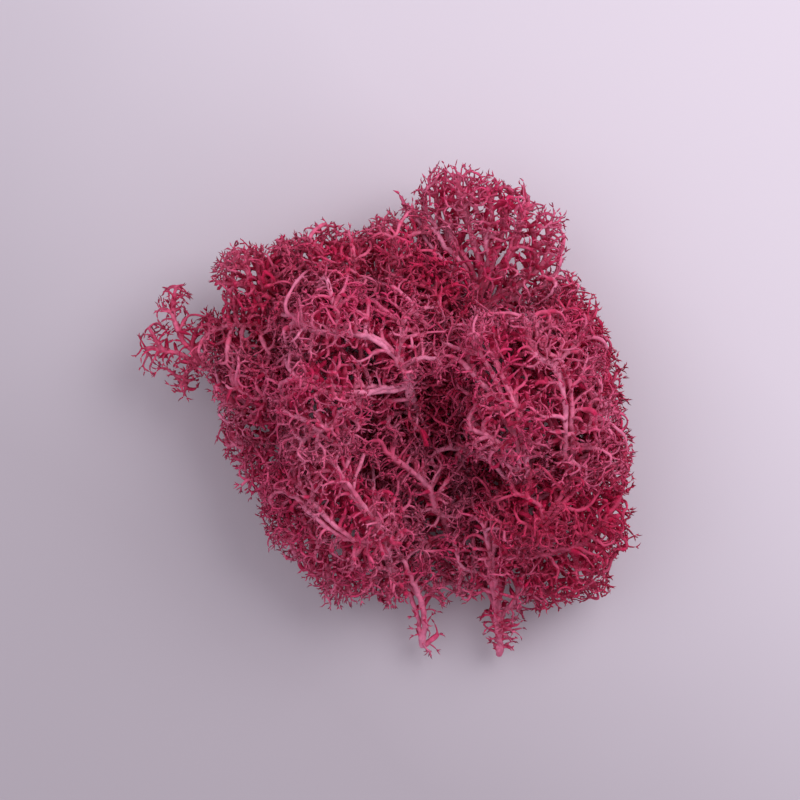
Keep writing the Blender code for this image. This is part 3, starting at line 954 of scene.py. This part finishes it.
def mix_colours(tree, share, first, second):
    """Blend two colours by a share and give back the output socket."""
    node = add(tree, "Mix", {0: share, 6: first, 7: second}, data_type="RGBA")
    return node.outputs[2]


def reckon(tree, operation, first, second=0.0, third=0.0):
    """One clamped step of arithmetic."""
    node = add(tree, "Math", {0: first, 1: second, 2: third}, operation=operation)
    node.use_clamp = True
    return node.outputs[0]


def ramp_value(tree, value, low, high, to_low=0.0, to_high=1.0):
    """Smoothly map a value from one range to another."""
    values = {0: value, 1: low, 2: high, 3: to_low, 4: to_high}
    return add(tree, "MapRange", values, interpolation_type="SMOOTHSTEP").outputs[0]


def cloud(tree, size, detail=2.0):
    """Soft noise with lumps of about a given size in metres."""
    where = add(tree, "TexCoord").outputs["Object"]
    values = {"Vector": where, "Scale": 1.0 / size, "Detail": detail}
    return add(tree, "TexNoise", values).outputs["Fac"]


def new_group(name, inputs, outputs):
    """An empty node group with named sockets."""
    group = bpy.data.node_groups.new(name, "ShaderNodeTree")
    for label, kind in inputs:
        group.interface.new_socket(label, in_out="INPUT", socket_type="NodeSocket" + kind)
    for label, kind in outputs:
        group.interface.new_socket(label, in_out="OUTPUT", socket_type="NodeSocket" + kind)
    given = group.nodes.new("NodeGroupInput").outputs
    return group, given, group.nodes.new("NodeGroupOutput").inputs


# %% The worn dye and painted shade
PATCH_SIZE = 7.0 * MM
PATCH_RANGE = (0.36, 0.66)
FLECK_SIZE = 0.9 * MM
FLECK_RANGE = (0.3, 0.7)
FLECK_SHADES = (0.80, 1.18)
# Ripeness runs from 0 in the thickest wood to 1 at the tips.
OLD_WOOD = (0.16, 0.72)
PATCHES_FADE, OLD_WOOD_FADES, TINT_FADES = 0.40, 0.55, 0.30
# How deep in the clump the painted shade sets in, its share there, and how much of it
# old wood has lost.
PAINTED_SHADE_DEPTHS = (0.10, 0.85)
PAINTED_SHADE_SHARE = 0.92
PAINTED_SHADE_LOST_ON_OLD_WOOD = 0.7
# How near the tip the brown begins, which tints go brown, and how brown they go.
DRY_END = (0.68, 0.92)
DRY_TINTS = (0.25, 0.75)
DRY_SHARES = (0.05, 0.85)


def make_worn_dye_and_shade():
    """The colour of a twig from its age and its own tint, with painted shade where its cover is
    thick.
    """
    colours = [(name, "Color") for name in ("Fresh", "Faded", "Deep", "Dry tip")]
    numbers = [(name, "Float") for name in ("Ripeness", "Tint", "Depth", "Fading")]
    group, given, result = new_group("worn dye", colours + numbers, [("Colour", "Color")])
    patches = ramp_value(group, cloud(group, PATCH_SIZE), *PATCH_RANGE)
    flecks = ramp_value(group, cloud(group, FLECK_SIZE), *FLECK_RANGE)
    old_wood = ramp_value(group, given["Ripeness"], *OLD_WOOD, 1.0, 0.0)
    faded = reckon(group, "MULTIPLY", old_wood, OLD_WOOD_FADES)
    faded = reckon(group, "MULTIPLY_ADD", patches, PATCHES_FADE, faded)
    faded = reckon(group, "MULTIPLY_ADD", given["Tint"], TINT_FADES, faded)
    faded = reckon(group, "MULTIPLY", faded, given["Fading"])
    colour = mix_colours(group, faded, given["Fresh"], given["Faded"])
    # Painted shade: a darker, deeper red comes in where much moss covers a twig, less of it on
    # old wood.
    painted_shade = ramp_value(group, given["Depth"], *PAINTED_SHADE_DEPTHS, 0.0, PAINTED_SHADE_SHARE)
    left = reckon(group, "MULTIPLY_ADD", old_wood, -PAINTED_SHADE_LOST_ON_OLD_WOOD, 1.0)
    painted_shade = reckon(group, "MULTIPLY", painted_shade, left)
    colour = mix_colours(group, painted_shade, colour, given["Deep"])
    dry = ramp_value(group, given["Ripeness"], *DRY_END)
    dry_tint = ramp_value(group, given["Tint"], *DRY_TINTS, *DRY_SHARES)
    dry = reckon(group, "MULTIPLY", dry, dry_tint)
    dry = reckon(group, "MULTIPLY", dry, reckon(group, "SUBTRACT", 1.0, painted_shade))
    colour = mix_colours(group, dry, colour, given["Dry tip"])
    darkest, lightest = FLECK_SHADES
    shade = add(group, "MapRange", {0: flecks, 3: darkest, 4: lightest}).outputs[0]
    last = add(group, "HueSaturation", {"Value": shade, "Color": colour})
    group.links.new(last.outputs["Color"], result["Colour"])
    return group


worn_dye_and_shade = make_worn_dye_and_shade()
print("worn dye:", len(worn_dye_and_shade.nodes), "nodes")

# %% [markdown]
# ## The skin
#
# The skin of a lichen twig is a felt of fine threads, dull and slightly velvety, with
# small pits and scales. It is too fine for the mesh, so it is a bump, with the
# roughness following the same lumps.

# %% The felted skin
PIT_SIZE, PIT_DETAIL, PIT_SHARE = 0.22 * MM, 3.0, 0.65
THREAD_SIZE, THREAD_DETAIL, THREAD_SHARE = 0.07 * MM, 2.0, 0.35
PIT_RANGE = (0.3, 0.7)
ROUGHNESS = (0.70, 0.95)
WEAR_SMOOTHS = 0.08


def make_felted_skin():
    """Height and roughness of the felted skin."""
    group, given, result = new_group(
        "felted skin",
        [("Wear", "Float")],
        [("Height", "Float"), ("Roughness", "Float")],
    )
    pits = cloud(group, PIT_SIZE, PIT_DETAIL)
    threads = cloud(group, THREAD_SIZE, THREAD_DETAIL)
    height = reckon(group, "MULTIPLY", pits, PIT_SHARE)
    height = reckon(group, "MULTIPLY_ADD", threads, THREAD_SHARE, height)
    low, high = PIT_RANGE
    smooth_skin, rough_skin = ROUGHNESS
    ends = {0: pits, 1: low, 2: high, 3: smooth_skin, 4: rough_skin}
    rough = add(group, "MapRange", ends).outputs[0]
    rough = reckon(group, "MULTIPLY_ADD", given["Wear"], -WEAR_SMOOTHS, rough)
    group.links.new(height, result["Height"])
    group.links.new(rough, result["Roughness"])
    return group


felted_skin = make_felted_skin()
print("felted skin:", len(felted_skin.nodes), "nodes")

# %% [markdown]
# ## Four baths of dye
#
# The clump was dyed as one, but the dye took unevenly. Most crowns are rose, those
# along one edge crimson, and the torn main stem is dusty. The tufts that lie in the
# shade get a darker, deeper bath: painted shade. So there are four baths, each of four
# colours, the third of them the painted shade deep in the clump, and a share of fading.
# One colour with random noise would be simpler, but then no tuft would have its own look.
# Even the strong reds are bright: light that bounces from twig to twig then keeps the
# hollows red instead of black.

# %% Four baths of dye
# Each bath holds the fresh and faded dye, the painted shade deep in the clump, the brown dry
# tip, and a share of fading.
Bath = namedtuple("Bath", "fresh faded deep dry_tip fading")
BATHS = {
    "rose_moss": Bath((0.65, 0.034, 0.139), (0.79, 0.245, 0.405), (0.53, 0.010, 0.075),
                      (0.190, 0.016, 0.042), 0.95),
    "crimson_moss": Bath((0.61, 0.018, 0.100), (0.79, 0.200, 0.345), (0.50, 0.008, 0.062),
                         (0.160, 0.013, 0.035), 0.85),
    # A darker copy of the dye for the tufts that lie in the shade: painted shade.
    "shaded_moss": Bath((0.56, 0.013, 0.080), (0.67, 0.112, 0.228), (0.52, 0.005, 0.062),
                        (0.160, 0.013, 0.037), 0.80),
    "bare_stem": Bath((0.60, 0.034, 0.128), (0.75, 0.225, 0.370), (0.52, 0.010, 0.072),
                      (0.170, 0.016, 0.042), 0.95),
}


# %% The dyed finish
BUMP_HEIGHT = 0.05 * MM
BUMP_STRENGTH = 0.6
SPECULAR = 0.12
SHEEN_WEIGHT = 0.05
SHEEN_ROUGHNESS = 0.45
SHEEN_TINT = (1.0, 0.62, 0.72, 1.0)


def dyed_and_shaded_material(slot):
    """The finish of one bath of dye, with its painted shade."""
    bath = BATHS[slot]
    material = bpy.data.materials.new("dyed_" + slot)
    material.use_nodes = True
    tree = material.node_tree
    shader = tree.nodes["Principled BSDF"]
    kept = {name: add(tree, "Attribute", attribute_name=name).outputs["Fac"]
            for name in ("ripeness", "tint", "depth")}
    dye = add(tree, "Group", node_tree=worn_dye_and_shade)
    # The third colour is the painted shade for twigs under much moss.
    for label, colour in zip(("Fresh", "Faded", "Deep", "Dry tip"), bath[:4]):
        dye.inputs[label].default_value = (*colour, 1.0)
    dye.inputs["Fading"].default_value = bath.fading
    for label in ("Ripeness", "Tint", "Depth"):
        tree.links.new(kept[label.lower()], dye.inputs[label])
    skin = add(tree, "Group", {"Wear": kept["tint"]}, node_tree=felted_skin)
    felt = {"Height": skin.outputs["Height"], "Distance": BUMP_HEIGHT,
            "Strength": BUMP_STRENGTH}
    bump = add(tree, "Bump", felt)
    tree.links.new(dye.outputs["Colour"], shader.inputs["Base Color"])
    tree.links.new(skin.outputs["Roughness"], shader.inputs["Roughness"])
    tree.links.new(bump.outputs["Normal"], shader.inputs["Normal"])
    shader.inputs["Specular IOR Level"].default_value = SPECULAR
    shader.inputs["Sheen Weight"].default_value = SHEEN_WEIGHT
    shader.inputs["Sheen Roughness"].default_value = SHEEN_ROUGHNESS
    shader.inputs["Sheen Tint"].default_value = SHEEN_TINT
    return material


materials = {slot: dyed_and_shaded_material(slot) for slot in sorted({slot for _, slot in pieces})}
for piece, slot in pieces:
    piece.data.materials.append(materials[slot])
print("baths of dye:", sorted(materials))

# %% [markdown]
# ## Floor, light and camera
#
# The clump lies on a plain pale table and is seen from straight above, with soft
# light from one side: a disk near the clump, whose light falls off across the table,
# a weak card opposite, and a pale sky that fills the shade. The table's colour is also
# painted lighter towards the disk and darker away from it: painted light, the falloff
# that a bigger room would give with its walls.

# %% The table
FLOOR_HALF = 1.2
# The table's darker and lighter tone: the painted light and the faint mottle blend between
# them.
PAINTED_LIGHT_AND_MOTTLE_TONES = ((0.510, 0.449, 0.512, 1.0), (0.723, 0.643, 0.736, 1.0))
# Which way the painted light makes the table lighter, and how fast for each metre.
TABLE_PAINTED_LIGHT = (7.0, 9.0, 0.0)
MOTTLE_SIZE = 60 * MM
MOTTLE_RANGE = (0.3, 0.7)
MOTTLE_TONES = (0.46, 0.54)
TABLE_ROUGHNESS = 0.8
TABLE_SPECULAR = 0.2


def make_floor():
    """A pale table top with a faint unevenness, and painted light that makes it lighter towards
    the window.
    """
    bpy.ops.mesh.primitive_plane_add(size=2 * FLOOR_HALF)
    floor = bpy.context.object
    floor.name = "table_top"
    material = bpy.data.materials.new("pale_table")
    material.use_nodes = True
    tree = material.node_tree
    shader = tree.nodes["Principled BSDF"]
    where = add(tree, "TexCoord").outputs["Object"]
    # Painted light: the tone rises towards the window, as its light would.
    across = add(tree, "VectorMath", {0: where, 1: TABLE_PAINTED_LIGHT}, operation="DOT_PRODUCT")
    mottle = ramp_value(tree, cloud(tree, MOTTLE_SIZE), *MOTTLE_RANGE, *MOTTLE_TONES)
    painted_light_and_mottle = reckon(tree, "ADD", across.outputs["Value"], mottle)
    colour = mix_colours(tree, painted_light_and_mottle, *PAINTED_LIGHT_AND_MOTTLE_TONES)
    tree.links.new(colour, shader.inputs["Base Color"])
    shader.inputs["Roughness"].default_value = TABLE_ROUGHNESS
    shader.inputs["Specular IOR Level"].default_value = TABLE_SPECULAR
    floor.data.materials.append(material)


make_floor()
print("the table is", 2 * FLOOR_HALF, "m wide")

# %% The lights
KEY_PLACE = (0.160, 0.135, 0.250)
KEY_SIZE = 0.24
KEY_POWER = 0.57
CARD_PLACE = (-0.170, 0.040, 0.290)
CARD_SIZE = 0.30
CARD_POWER = 0.175
SKY_COLOUR = (0.95, 0.93, 1.0, 1.0)
SKY_STRENGTH = 0.52


def add_soft_disk(name, place, size, power):
    """A round area light that faces the clump and stays out of view."""
    light = bpy.data.lights.new(name, "AREA")
    light.shape = "DISK"
    light.size = size
    light.energy = power
    disk = bpy.data.objects.new(name, light)
    disk.location = place
    disk.rotation_euler = (-Vector(place)).to_track_quat("-Z", "Y").to_euler()
    disk.visible_camera = False
    bpy.context.scene.collection.objects.link(disk)


def light_the_table():
    """A soft window from the far right, a pale card opposite, and a pale sky."""
    add_soft_disk("window", KEY_PLACE, KEY_SIZE, KEY_POWER)
    add_soft_disk("card", CARD_PLACE, CARD_SIZE, CARD_POWER)
    sky = bpy.data.worlds.new("sky")
    bpy.context.scene.world = sky
    sky.use_nodes = True
    background = sky.node_tree.nodes["Background"]
    background.inputs["Color"].default_value = SKY_COLOUR
    background.inputs["Strength"].default_value = SKY_STRENGTH


light_the_table()
print("the window is", KEY_SIZE, "m across and the card", CARD_SIZE, "m")

# %% The camera
CAMERA_PLACE = (2.4 * MM, 2.64 * MM, 335 * MM)
LENS = 90
NEAREST_SEEN = 10 * MM


def place_camera():
    """A long lens that looks straight down."""
    data = bpy.data.cameras.new("camera")
    data.lens = LENS
    data.clip_start = NEAREST_SEEN
    camera = bpy.data.objects.new("camera", data)
    camera.location = CAMERA_PLACE
    bpy.context.scene.collection.objects.link(camera)
    bpy.context.scene.camera = camera
    bpy.context.scene.view_settings.view_transform = "Standard"


place_camera()
print("the camera stands", round(CAMERA_PLACE[2] / MM), "mm above the table")
